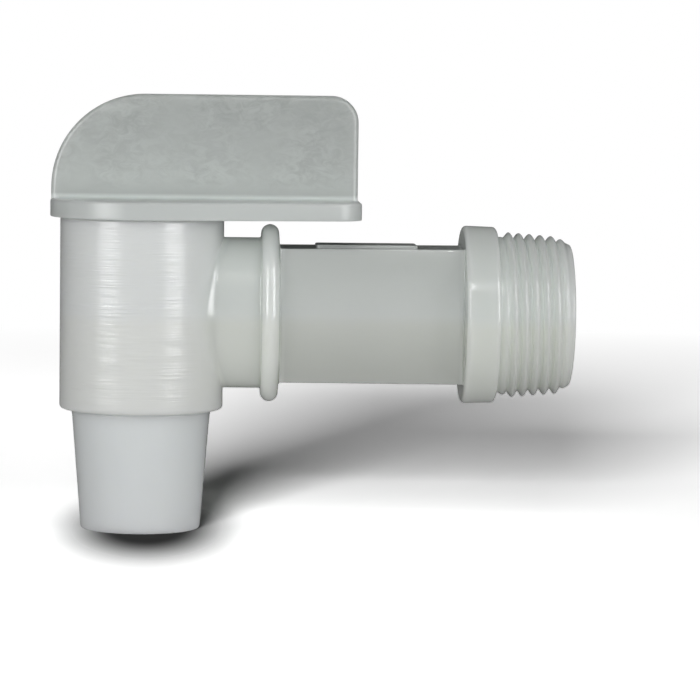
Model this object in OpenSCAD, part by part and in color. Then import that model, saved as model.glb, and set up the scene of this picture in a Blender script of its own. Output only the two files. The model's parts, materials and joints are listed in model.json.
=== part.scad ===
// Drum tap: a quarter-turn plug tap moulded in translucent polyethylene.
//
// The body is a barrel on a side inlet, with a taper thread that screws into a container.
// The key is one moulding: paddle, flange, hollow plug and spout. It turns in the barrel.
// A port in the plug's side faces the inlet when the paddle lies over the inlet, and liquid
// then runs down through the plug and out of the spout. Two O-rings seal the plug.
//
// Origin: on the inlet axis, in the plane of the collar's outer face, which meets the container.
// +X points out of the inlet and +Z up along the key. All lengths are in millimetres.

/* [Barrel] */
// Distance from the collar's outer face back to the key axis
key_offset = 59.6; // [57:0.1:70]
// Outer diameter of the barrel
barrel_d = 27.5; // [26:0.1:28]
// Height of the barrel above the inlet axis
barrel_top = 15.9; // [15.6:0.1:18]
// Depth of the barrel below the inlet axis
barrel_drop = 16.3; // [15:0.1:18]
// Rounding of the barrel's rims
barrel_edge = 0.7; // [0.4:0.1:1]
// Diameter of the bore that the plug turns in
plug_bore_d = 22.2; // [21.8:0.1:22.6]
// Depth of the lead-in at each end of the plug bore
lead_in = 0.5; // [0.3:0.1:0.8]

/* [Inlet stem] */
// Height of the oblong neck beside the barrel
neck_h = 25.4; // [24:0.1:26]
// Depth of the neck, front to back
neck_depth = 17.5; // [17.4:0.1:20]
// Radius of the neck's long corners
neck_corner = 8.6; // [5:0.1:8.6]
// How far the ring between neck and stem stands out from the neck
ring_rise = 2.25; // [1.6:0.05:2.4]
// Width of the ring, which has a full-round rim
ring_w = 3; // [2:0.1:4]
// Distance from the key axis to the middle of the ring
ring_reach = 21.5; // [19:0.1:24]
// Height of the flat-sided stem
stem_h = 22.5; // [20:0.1:24]
// Depth of the flat-sided stem, front to back
stem_depth = 15; // [14:0.1:16]
// Length of the plain raised pad on top of the stem
pad_len = 17; // [10:1:24]
// Width of the raised pad
pad_w = 8; // [4:0.5:12]
// Height of the raised pad
pad_h = 0.5; // [0.3:0.1:0.8]
// Diameter of the passage through the stem
passage_d = 11; // [8:0.1:11]

/* [Collar and inlet thread] */
// Diameter of the collar
collar_d = 30; // [29:0.1:34]
// Width of the collar
collar_w = 5.7; // [4:0.1:8]
// Rounding of the collar's rims
collar_edge = 0.7; // [0.3:0.1:1]
// Pitch of the inlet thread, 14 threads per inch
thread_pitch = 1.814; // [1.5:0.001:1.85]
// Crest diameter of the first full thread at the collar
crest_d = 28; // [27:0.1:28.4]
// Slope of the thread's taper, radius per length
thread_taper = 0.085; // [0.03:0.005:0.09]
// Depth of the thread from crest to root
thread_depth = 1; // [0.6:0.05:1.2]
// Number of threads, run-outs included
thread_turns = 6.4; // [5:0.1:6.4]
// Length of the threaded spigot beyond the collar
spigot_len = 12.6; // [12.6:0.1:16]
// Diameter of the inlet bore inside collar and spigot
inlet_bore_d = 18; // [14:0.1:19]
// Depth of the inlet bore
inlet_bore_len = 15.6; // [14:0.1:17]

/* [Key] */
// Diametral clearance of the plug in its bore
plug_play = 0.1; // [0.04:0.02:0.16]
// End play of the key between flange and retaining bead
end_play = 0.2; // [0.1:0.05:0.4]
// Diameter of the channel down through plug and spout
channel_d = 16; // [14:0.1:16]
// Height of the channel's closed end above the inlet axis
channel_top = 12.4; // [10:0.1:13]
// Diameter of the port in the plug's side
port_d = 11; // [8:0.1:11]
// Diameter of the retaining bead below the barrel
bead_d = 23.4; // [23:0.1:24]
// Height of the retaining bead
bead_h = 0.9; // [0.6:0.1:1.4]
// Diameter of the spout at its rim
spout_d = 20.1; // [19.5:0.1:22]
// Diameter of the spout just under the bead
spout_top_d = 23.2; // [22:0.1:23.4]
// Depth of the spout's rim below the inlet axis
spout_drop = 36.5; // [30:0.1:45]
// Chamfer on the spout's rim
spout_edge = 0.4; // [0.2:0.1:0.6]

/* [Flange and paddle] */
// Diameter of the flange over the barrel
flange_d = 30.9; // [29:0.1:33]
// Thickness of the flange
flange_t = 3; // [2:0.1:4]
// Distance from the key axis to the end of the flange's arm
arm_reach = 36.6; // [30:0.1:45]
// Width of the flange's arm at its end
arm_w = 22; // [16:0.5:26]
// Radius of the arm's end corners
arm_corner = 4.5; // [2:0.1:6]
// Thickness of the paddle
paddle_t = 3; // [2:0.1:4]
// Height of the paddle above the flange
paddle_h = 17.6; // [17:0.1:24]
// Distance the paddle's ends stay inside the flange's ends
paddle_inset = 0.5; // [0.2:0.1:1]
// Radius of the paddle's large top corner, over the barrel
paddle_big_corner = 15.7; // [10:0.1:16]
// Radius of the paddle's small top corner, over the inlet
paddle_small_corner = 4.5; // [2:0.1:6]

/* [O-rings] */
// Cord diameter of the O-rings
cord_d = 1.78; // [1.6:0.02:1.9]
// Squeeze of the cord, as a share of its diameter
squeeze = 0.24; // [0.16:0.01:0.28]
// Distance from the inlet axis to the middle of each O-ring
o_ring_reach = 9.2; // [8.4:0.1:10]

/* [Hidden] */

$fn = 96;
// Overlap of solids that are joined, and overrun of cutters, so that no faces coincide
lap = 0.5;

flange_z = barrel_top + end_play / 2;
bead_z = -barrel_drop - end_play / 2;
bead_edge = bead_h / 3;
plug_d = plug_bore_d - plug_play;
ring_x = ring_reach - key_offset;
// Place of a thread crest on the top side
crest_x = 2.1;

// Groove for an O-ring: the squeezed cord reaches from its floor to the plug bore
groove_floor_d = plug_bore_d - 2 * cord_d * (1 - squeeze);
groove_w = 1.35 * cord_d;
// Gap left between a squeezed O-ring and the plug bore, so that the two solids stay apart
bore_gap = 0.02;
cord_h = (plug_bore_d - groove_floor_d) / 2 - bore_gap;
// Straight part of the squeezed section, which keeps the cord's area
cord_flat = (PI * pow(cord_d / 2, 2) - PI * pow(cord_h / 2, 2)) / cord_h;

// Threaded surface: rows along the axis, columns round it
thread_cols = 40;
rows_per_pitch = 6;
thread_x0 = 0.55;
thread_len = thread_turns * thread_pitch;
// Length over which the thread rises to full height at each end
run_out = 0.9 * thread_pitch;
// Below 1, the crests are fuller than the roots
form_power = 0.8;
tip_chamfer = 0.5;

// Disc about Z with both rims rounded, its lower face at z = 0
module rounded_disc(d, h, edge) {
    rotate_extrude() {
        square([d / 2 - edge, h]);
        translate([0, edge]) square([d / 2, h - 2 * edge]);
        for (z = [edge, h - edge]) translate([d / 2 - edge, z]) circle(edge, $fn = 32);
    }
}

// Turns a child that stands on Z to lie along +X, starting at x
module along_x(x) {
    translate([x, 0, 0]) rotate([0, 90, 0]) children();
}

// Places a child on the key axis at height z
module on_key(z) {
    translate([-key_offset, 0, z]) children();
}

// Square that covers a corner, less the quarter circle that rounds it; corner at the origin
module corner_waste(r) {
    difference() {
        translate([-lap, -lap]) square(r + lap);
        translate([r, r]) circle(r);
    }
}

// Radius of the thread's crests at x
function crest_r(x) = crest_d / 2 - thread_taper * (x - crest_x);

// Share of full thread height at x: it fades in and out over the run-outs
function thread_fade(x) =
    let (s = min(x - thread_x0, thread_x0 + thread_len - x) / run_out) max(0, min(1, s));

// Rounded thread form: 1 on a crest, 0 in a root, for an angle of phase
function thread_form(phase) = pow((1 + cos(phase)) / 2, form_power);

// Radius of the threaded surface at x and at an angle round the axis
function thread_r(x, angle) =
    crest_r(x) - thread_depth
    + thread_depth * thread_fade(x) * thread_form(360 * (x - crest_x) / thread_pitch - angle);

// Spigot with a right-hand helical thread, one closed surface along +X
module threaded_spigot() {
    row_count = ceil((spigot_len - tip_chamfer + lap) / (thread_pitch / rows_per_pitch));
    row_step = (spigot_len - tip_chamfer + lap) / row_count;
    rows = [
        for (i = [0 : row_count + 1])
            i <= row_count ? [i * row_step - lap, 0] : [spigot_len, tip_chamfer]
    ];
    points = [
        for (row = rows) for (j = [0 : thread_cols - 1])
            let (angle = 360 * j / thread_cols, r = thread_r(row[0], angle) - row[1])
                [row[0], -r * sin(angle), r * cos(angle)]
    ];
    last = len(rows) - 1;
    sides = [
        for (i = [0 : last - 1]) for (j = [0 : thread_cols - 1])
            let (k = (j + 1) % thread_cols, a = i * thread_cols, b = a + thread_cols)
                each [[a + j, b + j, b + k], [a + j, b + k, a + k]]
    ];
    inner_end = [for (j = [0 : thread_cols - 1]) j];
    outer_end = [for (j = [thread_cols - 1 : -1 : 0]) last * thread_cols + j];
    polyhedron(points, concat(sides, [inner_end, outer_end]));
}

// Flat-sided stem from ring to collar, with a raised pad on top
module stem() {
    stem_len = lap - collar_w - ring_x;
    translate([ring_x, -stem_depth / 2, -stem_h / 2]) cube([stem_len, stem_depth, stem_h]);
    translate([(ring_x - collar_w - pad_len) / 2, -pad_w / 2, 0])
        cube([pad_len, pad_w, stem_h / 2 + pad_h]);
}

// Section across the inlet: an oblong with rounded corners, its height along the first axis
module oblong(h, depth, corner) {
    square([h - 2 * corner, depth], center = true);
    square([h, depth - 2 * corner], center = true);
    on_corners(h / 2 - corner, depth / 2 - corner) circle(corner);
}

// Places a child at the four corners of a rectangle
module on_corners(x, y) {
    for (i = [-1, 1]) for (j = [-1, 1]) translate([i * x, j * y, 0]) children();
}

// Ring round the inlet that follows the neck's section and has a full-round rim
module ring() {
    h = neck_h + 2 * ring_rise;
    depth = neck_depth + 2 * ring_rise;
    corner = neck_corner + ring_rise;
    rim = ring_w / 2;
    straight_h = h - 2 * corner;
    straight_depth = depth - 2 * corner;
    along_x(ring_x - rim) {
        linear_extrude(ring_w) oblong(h - ring_w, depth - ring_w, corner - rim);
        on_corners(straight_h / 2, straight_depth / 2) rotate_extrude() {
            square([corner - rim, ring_w]);
            translate([corner - rim, rim]) circle(rim, $fn = 48);
        }
        for (side = [-1, 1]) {
            translate([-straight_h / 2, side * (depth / 2 - rim), rim])
                rotate([0, 90, 0]) cylinder(r = rim, h = straight_h, $fn = 48);
            translate([side * (h / 2 - rim), straight_depth / 2, rim])
                rotate([90, 0, 0]) cylinder(r = rim, h = straight_depth, $fn = 48);
        }
    }
}

module body() {
    color([0.93, 0.94, 0.92]) difference() {
        union() {
            on_key(-barrel_drop) rounded_disc(barrel_d, barrel_top + barrel_drop, barrel_edge);
            along_x(-key_offset) linear_extrude(ring_reach)
                oblong(neck_h, neck_depth, neck_corner);
            ring();
            stem();
            along_x(-collar_w) rounded_disc(collar_d, collar_w, collar_edge);
            threaded_spigot();
        }
        on_key(-barrel_drop - lap)
            cylinder(d = plug_bore_d, h = barrel_top + barrel_drop + 2 * lap);
        on_key(barrel_top - lead_in)
            cylinder(d1 = plug_bore_d, d2 = plug_bore_d + 4 * lead_in, h = 2 * lead_in);
        along_x(-key_offset) cylinder(d = passage_d, h = key_offset + spigot_len);
        along_x(spigot_len - inlet_bore_len) cylinder(d = inlet_bore_d, h = inlet_bore_len + lap);
    }
}

// Plan of the flange: a disc over the barrel, drawn in along tangents to an arm over the inlet
module flange_plan() {
    corner = [arm_reach - arm_corner, arm_w / 2 - arm_corner];
    facing = atan2(corner.y, corner.x) + acos((flange_d / 2 - arm_corner) / norm(corner));
    normal = [cos(facing), sin(facing)];
    half = [normal * flange_d / 2, corner + normal * arm_corner, corner, corner + [arm_corner, 0]];
    polygon(concat(half, [for (i = [len(half) - 1 : -1 : 0]) [half[i].x, -half[i].y]]));
    circle(d = flange_d);
    for (side = [-1, 1]) translate([corner.x, side * corner.y]) circle(arm_corner);
}

// Side view of the paddle, standing on y = 0 with the key axis at x = 0
module paddle_side() {
    back = flange_d / 2 - paddle_inset;
    front = arm_reach - paddle_inset;
    difference() {
        translate([-back, 0]) square([back + front, paddle_h]);
        translate([-back, paddle_h]) mirror([0, 1]) corner_waste(paddle_big_corner);
        translate([front, paddle_h]) rotate(180) corner_waste(paddle_small_corner);
    }
}

module spout() {
    top = bead_z - bead_h;
    on_key(0) rotate_extrude() polygon([
        [0, top + lap],
        [spout_top_d / 2, top + lap],
        [spout_top_d / 2, top],
        [spout_d / 2, spout_edge - spout_drop],
        [spout_d / 2 - spout_edge, -spout_drop],
        [0, -spout_drop]
    ]);
}

// Groove cut round the plug, centred on height z
module o_ring_groove(z) {
    on_key(z - groove_w / 2) difference() {
        cylinder(d = plug_d + 2 * lap, h = groove_w);
        translate([0, 0, -lap]) cylinder(d = groove_floor_d, h = groove_w + 2 * lap);
    }
}

module key() {
    color([0.86, 0.9, 0.9]) difference() {
        union() {
            on_key(flange_z) linear_extrude(flange_t) flange_plan();
            on_key(flange_z + flange_t - lap) translate([0, paddle_t / 2, lap])
                rotate([90, 0, 0]) linear_extrude(paddle_t) paddle_side();
            on_key(bead_z - lap) cylinder(d = plug_d, h = flange_z - bead_z + 2 * lap);
            on_key(bead_z - bead_h) rounded_disc(bead_d, bead_h, bead_edge);
            spout();
        }
        on_key(-spout_drop - lap) cylinder(d = channel_d, h = spout_drop + channel_top + lap);
        along_x(-key_offset) cylinder(d = port_d, h = plug_d);
        for (side = [-1, 1]) o_ring_groove(side * o_ring_reach);
    }
}

// O-ring as it sits squeezed in its groove, centred on height z
module o_ring(z) {
    color([0.2, 0.2, 0.21]) on_key(z) rotate_extrude()
        translate([groove_floor_d / 2 + cord_h / 2, 0]) {
            square([cord_h, cord_flat], center = true);
            for (side = [-1, 1])
                translate([0, side * cord_flat / 2]) circle(d = cord_h, $fn = 32);
        }
}

module upper_o_ring() {
    o_ring(o_ring_reach);
}

module lower_o_ring() {
    o_ring(-o_ring_reach);
}

body();
key();
upper_o_ring();
lower_o_ring();
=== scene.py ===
"""Looks of the drum tap: a moulded body and key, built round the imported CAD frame."""
import json
from math import acos, asin, atan2, cos, hypot, pi, radians, sin, sqrt

import bmesh
import bpy
import numpy as np
from mathutils import Matrix, Vector


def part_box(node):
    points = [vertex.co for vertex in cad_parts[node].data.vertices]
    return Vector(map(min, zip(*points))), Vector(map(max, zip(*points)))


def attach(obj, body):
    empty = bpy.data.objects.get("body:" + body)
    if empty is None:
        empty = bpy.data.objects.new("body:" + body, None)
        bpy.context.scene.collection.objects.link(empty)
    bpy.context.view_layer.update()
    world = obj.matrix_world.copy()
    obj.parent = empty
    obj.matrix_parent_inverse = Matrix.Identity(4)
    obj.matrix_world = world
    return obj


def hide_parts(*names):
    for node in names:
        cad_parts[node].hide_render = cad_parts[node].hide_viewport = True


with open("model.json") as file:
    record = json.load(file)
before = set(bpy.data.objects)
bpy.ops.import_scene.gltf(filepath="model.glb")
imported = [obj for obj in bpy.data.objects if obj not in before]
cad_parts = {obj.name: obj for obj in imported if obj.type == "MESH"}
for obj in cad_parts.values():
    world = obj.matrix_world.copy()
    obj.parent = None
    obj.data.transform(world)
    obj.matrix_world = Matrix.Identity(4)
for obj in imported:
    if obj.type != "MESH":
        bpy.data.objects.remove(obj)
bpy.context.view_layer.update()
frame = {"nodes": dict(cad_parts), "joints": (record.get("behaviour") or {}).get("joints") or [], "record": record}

# ---------------------------------------------------------------- sizes, in metres
MM = 0.001
body_low, body_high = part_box("body")
key_low, key_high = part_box("key")
KEY_X = frame["joints"][0]["pos_m"][0]
mounts = {mount["name"]: mount for mount in frame["record"]["mounts"]}

BARREL_R = KEY_X - body_low.x
BARREL_TOP = body_high.z
BARREL_BOTTOM = body_low.z
BORE_R = 11.1 * MM
RIM_R = 0.7 * MM
TOP_RIM_R = 0.4 * MM
# Half heights of the wall rows that hold the neck's opening outside and the passage's in the bore
BARREL_WALL_Z = 14.3 * MM
BORE_WALL_Z = 8.5 * MM

NECK_HALF_Z = 12.7 * MM
NECK_HALF_Y = 8.75 * MM
# Reach of the neck's flare over the barrel: at the neck's top, and what its sides add
FLARE_REACH = 0.45 * MM
FLARE_SIDE_REACH = 4.0 * MM
# Share of the flare's run that is straight, and how far its curve goes on along the neck, in runs
FLARE_FLANK = 0.76
FLARE_END = 0.2
RING_X = KEY_X + 21.5 * MM
RING_RISE = 2.25 * MM
RING_RIM = 1.5 * MM

STEM_HALF_Z = 11.25 * MM
STEM_HALF_Y = 7.5 * MM
STEM_CORNER = 0.3 * MM
STEM_DRAFT = 0.16 * MM

COLLAR_R = body_high.y
COLLAR_X = -5.7 * MM
COLLAR_RIM = 0.7 * MM

TIP_X = body_high.x
PITCH = 1.814 * MM
CREST_R = 14 * MM
CREST_X = 2.1 * MM
THREAD_TAPER = 0.085
THREAD_DEPTH = 1 * MM
THREAD_START = 0.55 * MM
THREAD_END = 12.1 * MM
# Length over which the thread rises at each end, and the power that broadens its crests
THREAD_RISE = 0.9 * PITCH
THREAD_FORM = 0.8
# The tip's chamfer: its radius at the very end and its slope, then the rounding of its rim
CHAMFER_R = 11.5 * MM
CHAMFER_SLOPE = 1.25
TIP_RIM = 0.45 * MM

INLET_R = mounts["inlet_bore"]["dims"]["r_mm"] * MM
INLET_END = TIP_X - mounts["inlet_bore"]["dims"]["length_mm"] * MM
PASSAGE_R = 5.5 * MM

CHANNEL_R = mounts["outlet_bore"]["dims"]["r_mm"] * MM
CHANNEL_TOP = key_low.z + mounts["outlet_bore"]["dims"]["length_mm"] * MM
PLUG_R = 11.05 * MM
SPOUT_R = 10.05 * MM
SPOUT_TOP_R = 11.6 * MM
BEAD_R = 11.7 * MM
O_RING_Z = 9.2 * MM
# How far the port's cutter reaches out from the key axis, and its sides
PORT_REACH = 1.3 * PLUG_R
PORT_SIDES = 64

FLANGE_R = KEY_X - key_low.x
FLANGE_Z = BARREL_TOP + 0.1 * MM
FLANGE_TOP = FLANGE_Z + 3 * MM
ARM_END = key_high.x
ARM_HALF_Y = 11 * MM
ARM_CORNER = 4.5 * MM
PADDLE_TOP = key_high.z
PADDLE_HALF_Y = 1.5 * MM
PADDLE_EDGE = 0.85 * MM
PADDLE_BACK = key_low.x + 0.15 * MM
PADDLE_FRONT = ARM_END - 0.45 * MM
PADDLE_BIG_CORNER = 15.7 * MM
PADDLE_SMALL_CORNER = 4.5 * MM

# Columns round the inlet, and on each of the four sides between its corners
SIDE = 40
ROUND = 4 * SIDE


# ---------------------------------------------------------------- mesh tools
class Skin:
    """A closed surface made from loops of points joined by quads."""

    def __init__(self):
        self.points = []
        self.faces = []

    def loop(self, points):
        start = len(self.points)
        self.points.extend(tuple(p) for p in points)
        return list(range(start, len(self.points)))

    def bridge(self, a, b):
        for i in range(len(a)):
            j = (i + 1) % len(a)
            self.faces.append((a[i], a[j], b[j], b[i]))

    def stack(self, first, rings):
        """Joins loop first to each ring of points in turn, and returns the last loop."""
        for ring in rings:
            new = self.loop(ring)
            self.bridge(first, new)
            first = new
        return first

    def cap(self, loop):
        self.faces.append(tuple(loop))

    def solid(self, rings):
        """Joins rings of points in turn and closes both ends."""
        first = self.loop(rings[0])
        self.cap(first)
        self.cap(self.stack(first, rings[1:]))

    def make(self, name, merge=1e-7):
        mesh = bpy.data.meshes.new(name)
        mesh.from_pydata(self.points, [], self.faces)
        shape = bmesh.new()
        shape.from_mesh(mesh)
        bmesh.ops.remove_doubles(shape, verts=shape.verts, dist=merge)
        bmesh.ops.recalc_face_normals(shape, faces=shape.faces)
        shape.to_mesh(mesh)
        shape.free()
        obj = bpy.data.objects.new(name, mesh)
        bpy.context.scene.collection.objects.link(obj)
        return obj


def mix(a, b, share):
    return a + (b - a) * share


def arc(centre, radius, start, end, steps):
    """Points (first, second) on an arc, angles in degrees from the first axis."""
    angles = [radians(mix(start, end, i / steps)) for i in range(steps + 1)]
    return [(centre[0] + radius * cos(a), centre[1] + radius * sin(a)) for a in angles]


def oblong(half_y, half_z, corner, arc_steps=15):
    """Rounded rectangle round the X axis as (ROUND, 2) y and z values; corners at multiples of SIDE."""
    columns, ys, zs = [], [], []
    for k, (side_y, side_z) in enumerate([(1, 1), (-1, 1), (-1, -1), (1, -1)]):
        for j in range(-arc_steps, arc_steps + 1):
            angle = pi / 4 + k * pi / 2 + j / arc_steps * pi / 4
            columns.append(k * SIDE + j)
            ys.append(side_y * (half_y - corner) + corner * cos(angle))
            zs.append(side_z * (half_z - corner) + corner * sin(angle))
    at = np.arange(ROUND)
    order = np.argsort(np.array(columns) % ROUND, kind="stable")
    wrapped = (np.array(columns) % ROUND)[order]
    y = np.interp(at, wrapped, np.array(ys)[order], period=ROUND)
    z = np.interp(at, wrapped, np.array(zs)[order], period=ROUND)
    return np.stack([y, z], 1)


def oval(half_y, half_z):
    angles = pi / 4 + np.arange(ROUND) * 2 * pi / ROUND
    return np.stack([half_y * np.cos(angles), half_z * np.sin(angles)], 1)


def circle(radius):
    return oval(radius, radius)


def at_x(x, section):
    """Section's (y, z) points placed at x, which is one number or one per column."""
    return np.column_stack([np.broadcast_to(x, len(section)), section])


def union(target, *others):
    """Joins closed meshes into one with exact booleans."""
    for other in others:
        boolean(target, other, "UNION")
    return target


def boolean(target, other, operation):
    step = target.modifiers.new("boolean", "BOOLEAN")
    step.operation = operation
    step.solver = "EXACT"
    step.object = other
    depsgraph = bpy.context.evaluated_depsgraph_get()
    result = bpy.data.meshes.new_from_object(target.evaluated_get(depsgraph))
    target.modifiers.clear()
    old = target.data
    target.data = result
    bpy.data.meshes.remove(old)
    bpy.data.objects.remove(other)


def smooth(obj, angle=40):
    """Smooth shading with flat faces kept flat: normals follow the larger faces."""
    obj.data.shade_smooth()
    obj.data.set_sharp_from_angle(angle=radians(angle))
    step = obj.modifiers.new("flat faces", "WEIGHTED_NORMAL")
    step.mode = "FACE_AREA"
    step.weight = 60
    step.keep_sharp = True


# ---------------------------------------------------------------- body
def barrel_point(radius, u, z):
    """Point of a cylinder about the key axis: u runs along the arc from the inlet side."""
    return (KEY_X + radius * cos(u / radius), radius * sin(u / radius), z)


# Half the angle of the barrel's wall that the openings are cut in, and columns round the rest
HOLE_TURN = radians(62)
REST_COLUMNS = 77
barrel_angles = np.concatenate([
    np.linspace(-HOLE_TURN, HOLE_TURN, SIDE + 1),
    np.linspace(HOLE_TURN, 2 * pi - HOLE_TURN, REST_COLUMNS)[1:-1],
])


def barrel_wall(skin, radius, half_z, count=SIDE):
    """Rows of a barrel wall with a rectangular hole on the inlet side.

    Returns the bottom and top rows and the hole's edge, from corner (+y, +z) the way the inlet's columns run.
    """
    rows = []
    for z in np.linspace(-half_z, half_z, count + 1):
        rows.append(skin.loop([barrel_point(radius, a * radius, z) for a in barrel_angles]))
    for low, high in zip(rows, rows[1:]):
        for i in range(SIDE, len(low)):
            j = (i + 1) % len(low)
            skin.faces.append((low[i], low[j], high[j], high[i]))
    top = [rows[-1][i] for i in range(SIDE, 0, -1)]
    left = [rows[i][0] for i in range(count, 0, -1)]
    bottom = [rows[0][i] for i in range(SIDE)]
    right = [rows[i][SIDE] for i in range(count)]
    return rows[0], rows[-1], top + left + bottom + right


def wall_patch(skin, radius, edge, hole, steps=6):
    """Fills a wall's rectangular hole in to a loop of (u, z) points, and returns the last loop."""
    outer = []
    for index in edge:
        x, y, z = skin.points[index]
        outer.append((radius * atan2(y, x - KEY_X), z))
    outer = np.array(outer)
    rings = []
    for k in range(1, steps + 1):
        flat = mix(outer, hole, k / steps)
        rings.append([barrel_point(radius, u, z) for u, z in flat])
    return skin.stack(edge, rings)


def neck_flare(section):
    """Rings that flare the neck into the barrel, and the hole's (u, z) points they start from.

    A straight flank leaves the barrel along its tangent, and a tight curve turns it onto the neck.
    """
    step = np.roll(section, -1, 0) - np.roll(section, 1, 0)
    normal = np.stack([step[:, 1], -step[:, 0]], 1) / np.hypot(step[:, 0], step[:, 1])[:, None]
    hole, columns = [], []
    for (y, z), (ny, nz) in zip(section, normal):
        reach = FLARE_REACH + FLARE_SIDE_REACH * ny ** 4
        u, v = BARREL_R * asin(y / BARREL_R) + ny * reach, z + nz * reach
        hole.append((u, v))
        turn = u / BARREL_R
        foot = Vector(barrel_point(BARREL_R, u, v))
        inward = Vector((sin(turn) * ny, -cos(turn) * ny, -nz))
        run = hypot(foot.y - y, foot.z - z) / hypot(inward.y, inward.z)
        corner = Vector((foot.x + inward.x * run, y, z))
        bend = foot + inward * FLARE_FLANK * run
        bend.y, bend.z = mix(foot.y, y, FLARE_FLANK), mix(foot.z, z, FLARE_FLANK)
        end = corner + Vector((FLARE_END * run, 0, 0))
        column = [mix(foot, bend, k / 4) for k in range(1, 5)]
        for k in range(1, 9):
            t = k / 8
            column.append(bend * (1 - t) ** 2 + corner * 2 * t * (1 - t) + end * t ** 2)
        columns.append(column)
    return np.array(hole), [np.array(ring) for ring in zip(*columns)]


def stem_section(x):
    """Flat-sided stem: its side faces lean in a little from the parting line at mid-height."""
    along = (x - RING_X) / (COLLAR_X - RING_X)
    section = oblong(STEM_HALF_Y, STEM_HALF_Z + mix(-0.05, 0.05, along) * MM, STEM_CORNER, 3)
    section[:, 0] -= np.sign(section[:, 0]) * STEM_DRAFT * np.abs(section[:, 1]) / STEM_HALF_Z
    return section


def thread_rings():
    """Rings of the threaded spigot from the collar's face to the tip's rounded end."""
    phase = np.degrees(pi / 4 + np.arange(ROUND) * 2 * pi / ROUND) - 90
    rings = []
    for x in np.linspace(0.12 * MM, TIP_X - TIP_RIM, 112):
        rise = min(max(min(x - THREAD_START, THREAD_END - x) / THREAD_RISE, 0), 1)
        form = ((1 + np.cos(np.radians(360 * (x - CREST_X) / PITCH - phase))) / 2) ** THREAD_FORM
        root = CREST_R - THREAD_TAPER * (x - CREST_X) - THREAD_DEPTH
        chamfer = CHAMFER_R + CHAMFER_SLOPE * (TIP_X - x)
        radius = np.minimum(root + THREAD_DEPTH * rise * form, chamfer)
        angles = pi / 4 + np.arange(ROUND) * 2 * pi / ROUND
        rings.append(at_x(x, np.stack([radius * np.cos(angles), radius * np.sin(angles)], 1)))
    return rings


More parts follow.
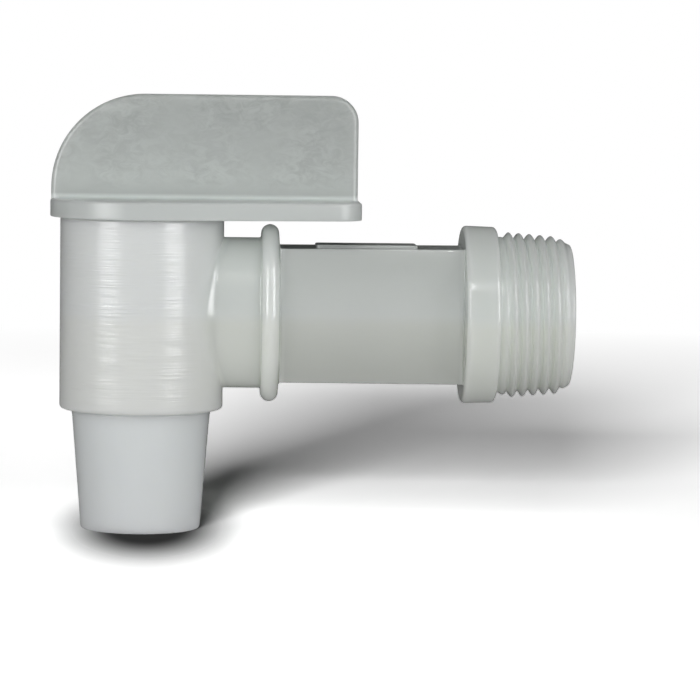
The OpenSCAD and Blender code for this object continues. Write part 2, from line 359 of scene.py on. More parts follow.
def build_body():
    skin = Skin()
    # Outer and inner walls of the barrel, joined by its top and bottom rims
    outer_low, outer_high, outer_edge = barrel_wall(skin, BARREL_R, BARREL_WALL_Z)
    inner_low, inner_high, inner_edge = barrel_wall(skin, BORE_R, BORE_WALL_Z)

    def turned(profile):
        return [[(KEY_X + r * cos(a), r * sin(a), z) for a in barrel_angles] for r, z in profile]

    top_r = TOP_RIM_R
    top_rim = [(BARREL_R, BARREL_TOP - top_r - 0.15 * MM)]
    top_rim += arc((BARREL_R - top_r, BARREL_TOP - top_r), top_r, 0, 90, 6)
    top_rim += [(BARREL_R - top_r - 0.2 * MM, BARREL_TOP), (BORE_R + 0.6 * MM, BARREL_TOP)]
    top_rim += [(BORE_R + 0.5 * MM, BARREL_TOP), (BORE_R, BARREL_TOP - 0.5 * MM)]
    top_rim += [(BORE_R, BARREL_TOP - 0.7 * MM)]
    skin.bridge(skin.stack(outer_high, turned(top_rim)), inner_high)
    low_rim = [(BARREL_R, BARREL_BOTTOM + RIM_R + 0.15 * MM)]
    low_rim += arc((BARREL_R - RIM_R, BARREL_BOTTOM + RIM_R), RIM_R, 0, -90, 6)
    low_rim += [(BARREL_R - RIM_R - 0.2 * MM, BARREL_BOTTOM), (BORE_R + 0.2 * MM, BARREL_BOTTOM)]
    low_rim += [(BORE_R, BARREL_BOTTOM + 0.2 * MM), (BORE_R, BARREL_BOTTOM + 0.5 * MM)]
    skin.bridge(skin.stack(outer_low, turned(low_rim)), inner_low)

    # Neck, blended out of the barrel's wall
    neck = oval(NECK_HALF_Y, NECK_HALF_Z)
    hole, flare = neck_flare(neck)
    loop = wall_patch(skin, BARREL_R, outer_edge, hole)
    loop = skin.stack(loop, flare)
    ring_start = RING_X - RING_RIM
    straight = flare[-1]
    for share in (0.25, 0.5, 0.75):
        x = mix(straight[:, 0], ring_start - 0.7 * MM, share)
        loop = skin.stack(loop, [at_x(x, neck)])

    # Ring with a full-round rim, a small fillet at its foot on each side
    side = RING_RISE - RING_RIM
    profile = [(ring_start - 0.7 * MM, 0)]
    profile += arc((ring_start - 0.35 * MM, 0.35 * MM), 0.35 * MM, -90, 0, 4)
    profile += [(RING_X + RING_RIM * cos(a), side + RING_RIM * sin(a)) for a in np.linspace(pi, 0, 21)]
    for x, rise in profile:
        loop = skin.stack(loop, [at_x(x, oval(NECK_HALF_Y + rise, NECK_HALF_Z + rise))])

    # Stem: its foot fillet on the ring, then its length, then a fillet on the collar's face
    foot = 0.25 * MM
    ring_face = RING_X + RING_RIM
    stem_x = [ring_face + 0.05 * MM + foot * (1 - cos(a)) for a in np.linspace(0, pi / 2, 4)]
    stem_out = [foot * (1 - sin(a)) for a in np.linspace(0, pi / 2, 4)]
    face_x = [COLLAR_X - foot * (1 - cos(a)) for a in np.linspace(pi / 2, 0, 4)]
    rows = list(zip(stem_x, stem_out)) + [(x, 0) for x in np.linspace(stem_x[-1], face_x[0], 26)[1:-1]]
    rows += list(zip(face_x, stem_out[::-1]))
    for x, out in rows:
        section = stem_section(x)
        grown = section + np.sign(section) * out
        loop = skin.stack(loop, [at_x(x, grown)])

    # Collar
    last = grown
    rim = circle(COLLAR_R - COLLAR_RIM)
    for share in (0.3, 0.6, 0.85, 1):
        loop = skin.stack(loop, [at_x(COLLAR_X, mix(last, rim, share))])
    left = arc((COLLAR_X + COLLAR_RIM, COLLAR_R - COLLAR_RIM), COLLAR_RIM, 180, 90, 6)
    right_r = COLLAR_R - 0.15 * MM
    right = arc((-COLLAR_RIM, right_r - COLLAR_RIM), COLLAR_RIM, 90, 0, 6)
    steps = [(mix(left[-1][0], right[0][0], s), mix(COLLAR_R, right_r, s)) for s in (0.05, 0.5, 0.95)]
    for x, r in left[1:] + steps + right:
        loop = skin.stack(loop, [at_x(x, circle(r))])

    # Thread, tip, inlet bore and passage
    threads = thread_rings()
    root = float(np.hypot(*threads[0][0][1:]))
    thread_foot = [(0, root + 0.12 * MM), (0.035 * MM, root + 0.035 * MM)]
    for x, r in [(0, right_r - COLLAR_RIM - 0.2 * MM)] + thread_foot:
        loop = skin.stack(loop, [at_x(x, circle(r))])
    loop = skin.stack(loop, threads)
    end = float(np.hypot(*threads[-1][0][1:]))
    tip = arc((TIP_X - TIP_RIM, end - TIP_RIM), TIP_RIM, 75, 0, 5)
    tip += [(TIP_X, end - 0.6 * MM), (TIP_X, INLET_R + 0.45 * MM)]
    tip += arc((TIP_X - 0.3 * MM, INLET_R + 0.3 * MM), 0.3 * MM, 0, -90, 4)
    tip += [(TIP_X - 0.5 * MM, INLET_R), (mix(TIP_X, INLET_END, 0.5), INLET_R)]
    tip += [(INLET_END + 0.5 * MM, INLET_R)]
    tip += arc((INLET_END + 0.3 * MM, INLET_R - 0.3 * MM), 0.3 * MM, 90, 180, 3)
    tip += [(INLET_END, INLET_R - 0.5 * MM)]
    tip += [(INLET_END, PASSAGE_R + 0.4 * MM), (INLET_END, PASSAGE_R + 0.2 * MM)]
    tip += [(INLET_END - 0.2 * MM, PASSAGE_R), (INLET_END - 0.4 * MM, PASSAGE_R)]
    for x, r in tip:
        loop = skin.stack(loop, [at_x(x, circle(r))])
    passage = circle(PASSAGE_R)
    bore_x = KEY_X + np.sqrt(BORE_R ** 2 - passage[:, 0] ** 2)
    for share in (0.25, 0.5, 0.75, 1):
        loop = skin.stack(loop, [at_x(mix(INLET_END - 0.4 * MM, bore_x, share), passage)])

    # The passage opens into the plug bore
    port = np.stack([BORE_R * np.arcsin(passage[:, 0] / BORE_R), passage[:, 1]], 1)
    inner = wall_patch(skin, BORE_R, inner_edge, port)
    skin.bridge(inner, loop)
    return skin.make("tap_body", merge=2e-6)


def raised_pad():
    """Plain raised pad that is joined to the top of the stem."""
    skin = Skin()
    half_x, half_y, corner = 8.5 * MM, 4 * MM, 0.8 * MM
    centre = mix(RING_X, COLLAR_X, 0.5)
    top = STEM_HALF_Z + 0.5 * MM
    profile = [(0, STEM_HALF_Z - 0.6 * MM), (0, top - 0.2 * MM)]
    profile += [(0.2 * MM * (1 - cos(a)), top - 0.2 * MM * (1 - sin(a)))
                for a in np.linspace(0, pi / 2, 4)[1:]]
    rings = []
    for inset, z in profile:
        outline = oblong(half_x - inset, half_y - inset, corner - inset)
        rings.append([(centre + a, b, z) for a, b in outline])
    skin.solid(rings)
    return skin.make("pad")


# ---------------------------------------------------------------- key
TURNED = 128


def turned_solid(name, profile):
    """Solid turned about the key axis from (r, z) points that start and end on the axis."""
    skin = Skin()
    angles = np.arange(TURNED) * 2 * pi / TURNED

    def ring(r, z):
        return [(KEY_X + r * cos(a), r * sin(a), z) for a in angles]

    skin.solid([ring(r, z) for r, z in profile])
    return skin.make(name)


def groove(z):
    """Profile points of an O-ring groove in the plug, from its upper edge down."""
    floor, half = 9.75 * MM, 1.2 * MM
    return [(PLUG_R, z + half), (floor, z + half), (floor, z - half), (PLUG_R, z - half)]


def plug_and_spout():
    bead_z = BARREL_BOTTOM - 0.1 * MM
    bead_h = 0.9 * MM
    rim_r = 0.35 * MM
    profile = [(CHANNEL_R, FLANGE_Z + 1.5 * MM), (PLUG_R, FLANGE_Z + 1.5 * MM), (PLUG_R, FLANGE_Z - 0.3 * MM)]
    for z in (O_RING_Z, -O_RING_Z):
        profile += groove(z)
    profile += [(PLUG_R, bead_z)]
    profile += arc((BEAD_R - bead_h / 2, bead_z - bead_h / 2), bead_h / 2, 90, -20, 8)
    spout_top = bead_z - bead_h
    slope = (SPOUT_TOP_R - SPOUT_R) / (spout_top - key_low.z)
    neck_z = spout_top - 0.15 * MM
    for z in np.linspace(neck_z, key_low.z + rim_r + 0.1 * MM, 24):
        profile.append((SPOUT_R + slope * (z - key_low.z), z))
    profile += arc((SPOUT_R - rim_r, key_low.z + rim_r), rim_r, 0, -90, 5)
    profile += [(CHANNEL_R + 0.3 * MM, key_low.z)]
    profile += arc((CHANNEL_R + 0.2 * MM, key_low.z + 0.2 * MM), 0.2 * MM, -90, -180, 4)
    for z in np.linspace(key_low.z + 0.6 * MM, CHANNEL_TOP - 1.5 * MM, 12):
        profile.append((CHANNEL_R, z))
    profile += [(CHANNEL_R - 1.5 * MM + 1.5 * MM * cos(a), CHANNEL_TOP - 1.5 * MM + 1.5 * MM * sin(a))
                for a in np.linspace(0, pi / 2, 6)[1:]]
    return turned_solid("plug", profile)


def flange_outline(inset=0.0):
    """Plan of the flange, drawn in by inset: a disc and a rounded arm joined by tangents."""
    corner = (ARM_END - KEY_X - ARM_CORNER, ARM_HALF_Y - ARM_CORNER)
    facing = atan2(corner[1], corner[0]) + acos((FLANGE_R - ARM_CORNER) / hypot(*corner))
    big, small = FLANGE_R - inset, ARM_CORNER - inset
    disc = [(big * cos(a), big * sin(a)) for a in np.linspace(facing, pi, 41)]
    tangent_start = (corner[0] + small * cos(facing), corner[1] + small * sin(facing))
    side = [(mix(tangent_start[0], disc[0][0], s), mix(tangent_start[1], disc[0][1], s))
            for s in np.linspace(0, 1, 17)[1:-1]]
    end = [(corner[0] + small * cos(a), corner[1] + small * sin(a)) for a in np.linspace(0, facing, 13)]
    middle = [(corner[0] + small, corner[1] * s) for s in (0, 0.5)]
    half = middle + end + side + disc
    other = [(x, -y) for x, y in half[::-1][1:-1]]
    return [(KEY_X + x, y) for x, y in half + other]


def flange():
    skin = Skin()
    low_r, top_r = 0.2 * MM, 0.5 * MM
    profile = [(low_r + 0.15 * MM, FLANGE_Z)]
    profile += [(low_r * (1 - sin(a)), FLANGE_Z + low_r * (1 - cos(a))) for a in np.linspace(0, pi / 2, 5)]
    profile += [(0, mix(FLANGE_Z, FLANGE_TOP, 0.2)), (0, mix(FLANGE_Z, FLANGE_TOP, 0.75))]
    profile += [(top_r * (1 - cos(a)), FLANGE_TOP - top_r * (1 - sin(a))) for a in np.linspace(0, pi / 2, 7)]
    profile += [(top_r + 0.2 * MM, FLANGE_TOP)]
    skin.solid([[(x, y, z) for x, y in flange_outline(inset)] for inset, z in profile])
    return skin.make("flange")


def paddle_outline(inset, foot):
    """Side view of the paddle as (x, z) points from its back foot over the top to its front foot."""
    back, front, top = PADDLE_BACK + inset, PADDLE_FRONT - inset, PADDLE_TOP - inset
    big, small = PADDLE_BIG_CORNER - inset, PADDLE_SMALL_CORNER - inset
    points = [(back, mix(foot, top - big, s)) for s in (0, 0.35, 0.7)]
    points += arc((back + big, top - big), big, 180, 90, 32)
    points += [(mix(back + big, front - small, s), top) for s in np.linspace(0, 1, 20)[1:-1]]
    points += arc((front - small, top - small), small, 90, 0, 14)
    points += [(front, mix(top - small, foot, s)) for s in (0.25, 0.5, 0.75, 1)]
    return points


def paddle():
    skin = Skin()
    edge = PADDLE_EDGE
    foot = FLANGE_TOP - 1 * MM
    across = [(edge + 0.2 * MM, -PADDLE_HALF_Y)]
    across += [(edge * (1 - sin(a)), -PADDLE_HALF_Y + edge * (1 - cos(a))) for a in np.linspace(0, pi / 2, 7)]
    across += [(0, 0)]
    across += [(inset, -y) for inset, y in across[-2::-1]]
    skin.solid([[(x, y, z) for x, z in paddle_outline(inset, foot)] for inset, y in across])
    return skin.make("paddle")


def foot_fillet(side):
    """Prism with a hollow face that rounds the corner between paddle and flange."""
    skin = Skin()
    r = 0.5 * MM
    inner_y = PADDLE_HALF_Y - 0.4 * MM
    section = [(inner_y, FLANGE_TOP - 0.4 * MM), (inner_y, FLANGE_TOP + r + 0.01 * MM)]
    section += [(PADDLE_HALF_Y + r * (1 - cos(a)), FLANGE_TOP + r * (1 - sin(a)))
                for a in np.linspace(0.02, pi / 2 - 0.02, 7)]
    section += [(PADDLE_HALF_Y + r, FLANGE_TOP - 0.4 * MM)]
    ends = (PADDLE_BACK + 1.2 * MM, PADDLE_FRONT - 0.7 * MM)
    skin.solid([[(x, side * y, z) for y, z in section] for x in ends])
    return skin.make("fillet")


def port_cutter():
    """Rod from the key axis out through the plug's wall towards the inlet."""
    skin = Skin()
    angles = np.arange(PORT_SIDES) * 2 * pi / PORT_SIDES
    ends = (KEY_X, KEY_X + PORT_REACH)
    skin.solid([[(x, PASSAGE_R * cos(a), PASSAGE_R * sin(a)) for a in angles] for x in ends])
    return skin.make("port")


def build_key():
    key = plug_and_spout()
    boolean(key, port_cutter(), "DIFFERENCE")
    return union(key, flange(), paddle(), foot_fillet(-1), foot_fillet(1))


# ---------------------------------------------------------------- materials
class Nodes:
    """Short calls for building a material's node tree."""

    def __init__(self, name):
        self.material = bpy.data.materials.new(name)
        self.material.use_nodes = True
        self.tree = self.material.node_tree
        self.tree.nodes.clear()
        self.output = self.tree.nodes.new("ShaderNodeOutputMaterial")

    def add(self, kind, inputs=None, **settings):
        node = self.tree.nodes.new("ShaderNode" + kind)
        for name, value in settings.items():
            setattr(node, name, value)
        for name, value in (inputs or {}).items():
            self.set(node, name, value)
        return node

    def set(self, node, name, value):
        if isinstance(value, bpy.types.NodeSocket):
            self.tree.links.new(value, node.inputs[name])
        else:
            node.inputs[name].default_value = value

    def math(self, operation, a, b=0.0):
        return self.add("Math", {0: a, 1: b}, operation=operation).outputs[0]

    def ramp(self, value, low, high, out_low=0.0, out_high=1.0):
        inputs = {"Value": value, "From Min": low, "From Max": high, "To Min": out_low, "To Max": out_high}
        return self.add("MapRange", inputs, clamp=True).outputs[0]


def milky_plastic(name, tint, walls, marks, gloss=0.12):
    """Translucent white polyethylene; tint holds its colours below and above mid-height.

    walls(nodes, x, y, z) gives the painted shading: the share of light that a wall keeps, as thin walls read
    darker, and painted light where a face should read lighter.
    marks(nodes, place, x, y, z) gives the share of light that the scuffs and any painted shading leave, the height
    of the tool marks, and what they add to the roughness.
    """
    n = Nodes(name)
    place = n.add("TexCoord").outputs["Object"]
    axes = n.add("SeparateXYZ", {0: place}).outputs
    cloud = n.add("TexNoise", {"Vector": place, "Scale": 60.0, "Detail": 2.0}).outputs["Fac"]
    marks_and_shade, relief, dull = marks(n, place, *axes)
    # Painted shading from walls() and marks() is multiplied into the colour here
    shade = n.math("MULTIPLY", n.ramp(cloud, 0.2, 0.8, 0.975, 1.01), walls(n, *axes))
    shade = n.math("MULTIPLY", shade, marks_and_shade)
    shade = n.math("MULTIPLY", shade, specks(n, place))
    halves = n.ramp(axes["Z"], -1.5 * MM, 0.5 * MM)
    warm = n.add("Mix", {0: halves, 6: (*tint[0], 1), 7: (*tint[1], 1)}, data_type="RGBA").outputs[2]
    colour = n.add("VectorMath", {0: warm, "Scale": shade}, operation="SCALE").outputs[0]
    fine = n.add("TexNoise", {"Vector": place, "Scale": 1800.0, "Detail": 3.0}).outputs["Fac"]
    skin = n.add("Bump", {"Strength": 0.03, "Distance": 0.0001, "Height": fine}).outputs["Normal"]
    tool_marks = {"Strength": 1.0, "Distance": 1.0, "Height": relief, "Normal": skin}
    tooled = n.add("Bump", tool_marks).outputs["Normal"]
    shader = n.add("BsdfPrincipled", {
        "Base Color": colour,
        "Roughness": n.math("ADD", n.ramp(cloud, 0.3, 0.7, gloss - 0.03, gloss + 0.03), dull),
        "IOR": 1.5,
        "Normal": tooled,
        "Subsurface Weight": 1.0,
        "Subsurface Radius": (1.0, 1.0, 0.95),
        "Subsurface Scale": 5 * MM,
    })
    shader.subsurface_method = "RANDOM_WALK"
    n.set(n.output, "Surface", shader.outputs[0])
    return n.material


def specks(n, place):
    """Share of light left by sparse dark specks, one here and there."""
    cells = n.add("TexVoronoi", {"Vector": place, "Scale": 170.0, "Randomness": 1.0})
    pick = n.add("SeparateColor", {0: cells.outputs["Color"]}).outputs
    reach = n.ramp(pick[1], 0.0, 1.0, 0.008, 0.03)
    dot = n.math("LESS_THAN", cells.outputs["Distance"], reach)
    rare = n.math("LESS_THAN", pick[0], 0.16)
    return n.math("SUBTRACT", 1.0, n.math("MULTIPLY", n.math("MULTIPLY", dot, rare), 0.5))


def length(n, a, b):
    """Length of the vector (a, b)."""
    return n.math("SQRT", n.math("ADD", n.math("POWER", a, 2.0), n.math("POWER", b, 2.0)))


def body_painted_shading(n, x, y, z):
    """Painted shading on the one moulding: barrel lightest, neck darker, ring a little lighter, stem darkest at
    its top and bottom, thread dark on its crests and painted lighter in its valleys against their shade.
    """
    out = length(n, n.math("SUBTRACT", x, KEY_X), y)
    # Painted shading: the neck darker than the barrel, the ring a little lighter
    neck = n.ramp(out, BARREL_R + 0.1 * MM, BARREL_R + 1 * MM, 0.955, 0.79)
    ring = n.ramp(n.math("ABSOLUTE", n.math("SUBTRACT", x, RING_X)), 0.8 * MM, 1.8 * MM, 1.07, 1.0)
    # Painted shade: the stem darker towards its top and, more, towards its bottom
    above = n.ramp(z, 0.0, STEM_HALF_Z, 0.92, 0.77)
    stem_painted_shade = n.math("SUBTRACT", above, n.ramp(z, 0.0, -STEM_HALF_Z, 0.0, 0.24))
    on_stem = n.ramp(x, RING_X + RING_RIM, RING_X + RING_RIM + 1 * MM)
    off_stem = n.ramp(x, COLLAR_X - 0.8 * MM, COLLAR_X + 0.4 * MM)
    inside = n.math("MULTIPLY", on_stem, n.math("SUBTRACT", 1.0, off_stem))
    stem = n.add("Mix", {0: inside, 2: 1.0, 3: stem_painted_shade}).outputs[0]
    collar = n.ramp(x, COLLAR_X - 0.8 * MM, COLLAR_X + 0.4 * MM, 1.0, 1.02)
    radius = length(n, y, z)
    # Painted light and shade on the thread: crests darker, valleys lighter, flattening its relief's shading
    crest = n.math("SUBTRACT", CREST_R + THREAD_TAPER * CREST_X, n.math("MULTIPLY", x, THREAD_TAPER))
    thread_painted_shading = n.ramp(n.math("SUBTRACT", crest, radius), 0.0, THREAD_DEPTH, 0.81, 1.08)
    thread = n.add("Mix", {0: n.ramp(x, 0.1 * MM, 0.4 * MM), 2: 1.0, 3: thread_painted_shading}).outputs[0]
    collar = n.math("MULTIPLY", collar, thread)
    return n.math("MULTIPLY", n.math("MULTIPLY", neck, ring), n.math("MULTIPLY", stem, collar))


def body_marks(n, place, x, y, z):
    """Turned rings and soft waves on the barrel, rings stronger near its top; hardly any elsewhere."""
    on_barrel = n.ramp(x, KEY_X + 8 * MM, KEY_X + 10 * MM, 1.0, 0.12)
    upper = n.ramp(z, -6 * MM, 14 * MM, 0.45, 1.0)
    stretched = n.add("Mapping", {"Vector": place, "Scale": (90, 90, 2600)}).outputs[0]
    fine = {"Vector": stretched, "Scale": 1.0, "Detail": 4.0, "Roughness": 0.6}
    rings = n.add("TexNoise", fine).outputs["Fac"]
    patches = n.add("Mapping", {"Vector": place, "Scale": (70, 70, 350)}).outputs[0]
    where = n.ramp(n.add("TexNoise", {"Vector": patches, "Scale": 1.0}).outputs["Fac"], 0.4, 0.65, 0.15, 1.0)
    worn = n.math("MULTIPLY", n.math("MULTIPLY", on_barrel, upper), where)
    streaks = n.math("MULTIPLY", n.math("SUBTRACT", rings, 0.5), n.math("MULTIPLY", worn, 0.06))
    bright = n.math("ADD", 1.0, streaks)
    waves = n.add("TexNoise", {"Vector": patches, "Scale": 1.3}).outputs["Fac"]
    waves = n.math("MULTIPLY", waves, n.math("MULTIPLY", on_barrel, 0.12 * MM))
    relief = n.math("ADD", waves, n.math("MULTIPLY", rings, n.math("MULTIPLY", worn, 0.14 * MM)))
    return bright, relief, n.math("MULTIPLY", on_barrel, 0.11)


def key_painted_shading(n, x, y, z):
    """Painted light and shade: spout and plug lightest, flange darker but for its top, which is painted lighter as
    if lit, and the thin paddle darkest but for its foot.
    """
    flange = n.ramp(z, FLANGE_Z - 0.3 * MM, FLANGE_Z, 0.92, 0.71)
    # Painted light on the flange's top face and the paddle's foot, lighter than the flange's sides
    top = n.ramp(z, FLANGE_TOP - 0.25 * MM, FLANGE_TOP - 0.02 * MM, 1.0, 1.24)
    # Paddle painted darker above its foot, so the corner where it meets the flange stays lighter against its shade
    paddle = n.ramp(z, FLANGE_TOP + 0.4 * MM, FLANGE_TOP + 1.0 * MM, 1.0, 0.665)
    return n.math("MULTIPLY", n.math("MULTIPLY", flange, top), paddle)


def key_marks_and_shade(n, place, x, y, z):
    """Handling scuffs over the paddle's faces, with painted shading that lightens the paddle low down and darkens
    it towards its top and front end; flange and paddle are rougher than the plug.
    """
    on_paddle = n.ramp(z, FLANGE_TOP + 1 * MM, FLANGE_TOP + 4 * MM)
    stretched = n.add("Mapping", {"Vector": place, "Scale": (380, 380, 650)}).outputs[0]
    noise = n.add("TexNoise", {"Vector": stretched, "Scale": 1.0, "Detail": 8.0, "Roughness": 0.74,
                               "Distortion": 0.9}).outputs["Fac"]
    broad = n.add("TexNoise", {"Vector": place, "Scale": 110.0, "Detail": 1.0}).outputs["Fac"]
    scuffs = n.math("MULTIPLY", n.ramp(noise, 0.4, 0.6, -0.11, 0.07), n.ramp(broad, 0.35, 0.6, 0.3, 1.0))
    # Painted shading: lighter low on the paddle, darker at its top and towards its front end
    fall = n.ramp(z, FLANGE_TOP, PADDLE_TOP, 0.1, -0.1)
    fall = n.math("ADD", fall, n.ramp(x, KEY_X, ARM_END, 0.0, -0.06))
    share = n.math("ADD", 1.0, n.math("MULTIPLY", on_paddle, n.math("ADD", scuffs, fall)))
    dull = n.math("MULTIPLY", n.ramp(noise, 0.4, 0.6), n.math("MULTIPLY", on_paddle, 0.12))
    dull = n.math("ADD", dull, n.ramp(z, BARREL_TOP - 1 * MM, BARREL_TOP, 0.0, 0.2))
    return share, n.math("MULTIPLY", n.math("MULTIPLY", noise, on_paddle), 0.004 * MM), dull


def seal_rubber():
    """Black rubber with a fine grain."""
    n = Nodes("seal_rubber")
    place = n.add("TexCoord").outputs["Object"]
    grain = n.add("TexNoise", {"Vector": place, "Scale": 3000.0, "Detail": 2.0}).outputs["Fac"]
    bump = n.add("Bump", {"Strength": 0.2, "Distance": 0.0001, "Height": grain}).outputs["Normal"]
    shader = n.add("BsdfPrincipled", {"Base Color": (0.02, 0.02, 0.022, 1), "Roughness": 0.5, "Normal": bump})
    n.set(n.output, "Surface", shader.outputs[0])
    return n.material


# Brightness of the lit floor to the camera, its gain with depth, and what it sends back to the tap
FLOOR_SEEN = 2.05
FLOOR_GAIN = 1.4
FLOOR_DEPTHS = (0.06, 0.24)
FLOOR_BOUNCE = 0.52
# Distances between which the floor fades to plain white, and half its width
FLOOR_FADE = (0.25, 0.45)
FLOOR_HALF = 3.0
# Painted shadow under the spout, drawn into the floor's colour: reach across and along the view, its middle, and
# its darkest share
PAINTED_SHADOW_SIZE = (20 * MM, 60 * MM)
PAINTED_SHADOW_X = KEY_X + 1.2 * MM
PAINTED_SHADOW_DARK = 0.02


def floor_material():
    """White to the camera where it is lit, with a painted shadow darkening it under the spout, fading to plain
    white far off; a mild reflector for the object.
    """
    n = Nodes("pale_floor")
    place = n.add("TexCoord").outputs["Object"]
    distance = n.add("VectorMath", {0: place}, operation="LENGTH").outputs["Value"]
    far = n.ramp(distance, *FLOOR_FADE)
    # Painted shadow: the floor's colour darkens towards the spout's foot
    under = n.add("Mapping", {"Vector": place, "Location": (-PAINTED_SHADOW_X / PAINTED_SHADOW_SIZE[0], 0, 0),
                              "Scale": (1 / PAINTED_SHADOW_SIZE[0], 1 / PAINTED_SHADOW_SIZE[1], 0)}).outputs[0]
    reach = n.add("VectorMath", {0: under}, operation="LENGTH").outputs["Value"]
    soft = {"Value": reach, "From Min": 0.3, "From Max": 1.0, "To Min": PAINTED_SHADOW_DARK, "To Max": 1.0}
    painted_shadow = n.add("MapRange", soft, interpolation_type="SMOOTHSTEP").outputs[0]
    depth = n.add("SeparateXYZ", {0: place}).outputs["Y"]
    bright = n.ramp(depth, *FLOOR_DEPTHS, FLOOR_SEEN, FLOOR_GAIN * FLOOR_SEEN)
    share = n.math("MULTIPLY", painted_shadow, bright)
    shade = n.add("VectorMath", {0: (1, 1, 1), "Scale": share}, operation="SCALE")
    seen = n.add("BsdfDiffuse", {"Color": shade.outputs[0]})
    white = n.add("Emission", {"Color": (1, 1, 1, 1), "Strength": 1.0})
    faded = n.add("MixShader", {0: far, 1: seen.outputs[0], 2: white.outputs[0]})
    bounce = n.add("BsdfDiffuse", {"Color": (FLOOR_BOUNCE, FLOOR_BOUNCE, FLOOR_BOUNCE, 1)})
    camera_ray = n.add("LightPath").outputs["Is Camera Ray"]
    choose = n.add("MixShader", {0: camera_ray, 1: bounce.outputs[0], 2: faded.outputs[0]})
    n.set(n.output, "Surface", choose.outputs[0])
    return n.material


# ---------------------------------------------------------------- pieces
# Colours of the plastic below and above mid-height
BODY_TINT = ((0.888, 0.917, 0.866), (0.88, 0.92, 0.892))
KEY_TINT = ((0.865, 0.905, 0.905), (0.86, 0.904, 0.884))

body = union(build_body(), raised_pad())
smooth(body)
body.data.materials.clear()
body.data.materials.append(milky_plastic("body_plastic", BODY_TINT, body_painted_shading, body_marks))
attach(body, "tap_body")
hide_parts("body")

key = build_key()
key.name = "turning_key"
smooth(key)
key.data.materials.clear()
key.data.materials.append(milky_plastic("key_plastic", KEY_TINT, key_painted_shading, key_marks_and_shade))
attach(key, "turning_key")
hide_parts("key")

rubber = seal_rubber()
for node in ("upper_o_ring", "lower_o_ring"):
    ring = frame["nodes"][node]
    ring.data.materials.clear()
    ring.data.materials.append(rubber)


# ---------------------------------------------------------------- floor, light and camera
def make_floor():
    mesh = bpy.data.meshes.new("floor")
    corners = [(-1, -1), (1, -1), (1, 1), (-1, 1)]
    points = [(FLOOR_HALF * x, FLOOR_HALF * y, key_low.z) for x, y in corners]
    mesh.from_pydata(points, [], [(0, 1, 2, 3)])
    floor = bpy.data.objects.new("floor", mesh)
    bpy.context.scene.collection.objects.link(floor)
    mesh.materials.append(floor_material())
    return floor


def area_light(name, place, aim, size, power):
    data = bpy.data.lights.new(name, "AREA")
    data.shape = "RECTANGLE"
    data.size, data.size_y = size
    data.energy = power
    light = bpy.data.objects.new(name, data)
    light.location = place
    light.rotation_euler = (Vector(aim) - Vector(place)).to_track_quat("-Z", "Y").to_euler()
    bpy.context.scene.collection.objects.link(light)
    return light


def around(azimuth, elevation, distance):
    """Place at a distance from the key axis; azimuth 0 is in front (-Y), positive towards +X."""
    a, e = radians(azimuth), radians(elevation)
    return (KEY_X + distance * sin(a) * cos(e), -distance * cos(a) * cos(e), distance * sin(e))


# Soft panels: name, azimuth, elevation, distance, width, height, radiance. Those nearer than
# UPRIGHT_WITHIN stand upright with their foot above the floor, and the others are tilted to the aim.
PANELS = [
    ("left_strip", -46, 17, 0.35, 0.13, 0.32, 2.0),
    ("right_strip", 46, 17, 0.35, 0.13, 0.32, 1.65),
    ("left_glint", -46, 24, 0.35, 0.15, 0.33, 8.0),
    ("right_glint", 46, 24, 0.35, 0.15, 0.33, 7.8),
    ("top_glint", 11, 40, 0.7, 0.06, 0.12, 22.0),
    ("front_low", 0, 6, 0.9, 0.3, 0.16, 22.0),
    ("overhead", 0, 89, 0.6, 0.8, 0.8, 0.24),
    ("left_side", -90, 12, 0.6, 0.4, 0.3, 0.5),
    ("right_side", 90, 12, 0.6, 0.4, 0.3, 1.0),
    ("back", 180, 35, 0.7, 0.5, 0.4, 4.5),
    ("floor_low", -12, 11.5, 2.0, 0.6, 0.48, 80.0),
    ("floor_high", -12, 30, 2.0, 0.8, 0.8, 4.6),
]
UPRIGHT_WITHIN = 0.4
GLINT_LIFT = 21 * MM
STRIP_LIFT = 1 * MM
LIGHT_AIM = (KEY_X + 20 * MM, 0, 0)


def light_only(light, floor, on_floor):
    """Makes a light fall on the floor alone, or on everything but the floor."""
    group = bpy.data.collections.new(light.name + "_reach")
    group.objects.link(floor)
    light.light_linking.receiver_collection = group
    group.collection_objects[0].light_linking.link_state = "INCLUDE" if on_floor else "EXCLUDE"


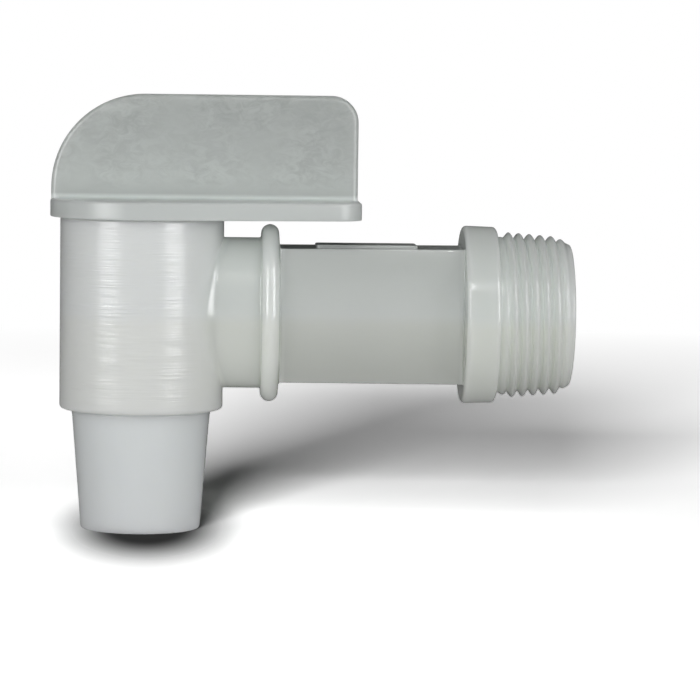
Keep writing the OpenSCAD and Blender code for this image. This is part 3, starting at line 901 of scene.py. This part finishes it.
def make_lights(floor):
    for name, azimuth, elevation, distance, width, height, radiance in PANELS:
        power = radiance * pi * width * height
        place = around(azimuth, elevation, distance)
        aim = LIGHT_AIM
        glint = name.endswith("glint")
        if distance < UPRIGHT_WITHIN:
            lift = GLINT_LIFT if glint else STRIP_LIFT
            place = (place[0], place[1], key_low.z + lift + height / 2)
            aim = (KEY_X, 0, place[2])
        light = area_light(name, place, aim, (width, height), power)
        # Glints show as highlights only, and the rest light the plastic but don't show in it
        light.visible_glossy = glint
        light.visible_diffuse = not glint
        light_only(light, floor, name.startswith("floor"))


def make_world():
    """White to the camera, and no light on the tap."""
    world = bpy.data.worlds.new("studio")
    world.use_nodes = True
    tree = world.node_tree
    tree.nodes.clear()
    output = tree.nodes.new("ShaderNodeOutputWorld")
    seen = tree.nodes.new("ShaderNodeBackground")
    seen.inputs["Color"].default_value = (1, 1, 1, 1)
    path = tree.nodes.new("ShaderNodeLightPath")
    tree.links.new(path.outputs["Is Camera Ray"], seen.inputs["Strength"])
    tree.links.new(seen.outputs[0], output.inputs["Surface"])
    bpy.context.scene.world = world


# Camera as the photo was taken: aim, place round it, roll, and focal length in millimetres
CAMERA_AIM = Vector((KEY_X + 35.2 * MM, 0, -6.2 * MM))
CAMERA_AZIMUTH = radians(-2.75)
CAMERA_ELEVATION = radians(4.7)
CAMERA_DISTANCE = 0.608
CAMERA_ROLL = radians(0.72)
CAMERA_LENS = 185


def make_camera():
    flat = cos(CAMERA_ELEVATION)
    away = Vector((sin(CAMERA_AZIMUTH) * flat, -cos(CAMERA_AZIMUTH) * flat, sin(CAMERA_ELEVATION)))
    data = bpy.data.cameras.new("camera")
    data.lens = CAMERA_LENS
    data.clip_start = 0.01
    camera = bpy.data.objects.new("camera", data)
    camera.location = CAMERA_AIM + away * CAMERA_DISTANCE
    turn = (-away).to_track_quat("-Z", "Y").to_matrix() @ Matrix.Rotation(CAMERA_ROLL, 3, "Z")
    camera.rotation_euler = turn.to_euler()
    bpy.context.scene.collection.objects.link(camera)
    bpy.context.scene.camera = camera


make_lights(make_floor())
make_world()
make_camera()
bpy.context.scene.view_settings.view_transform = "Standard"
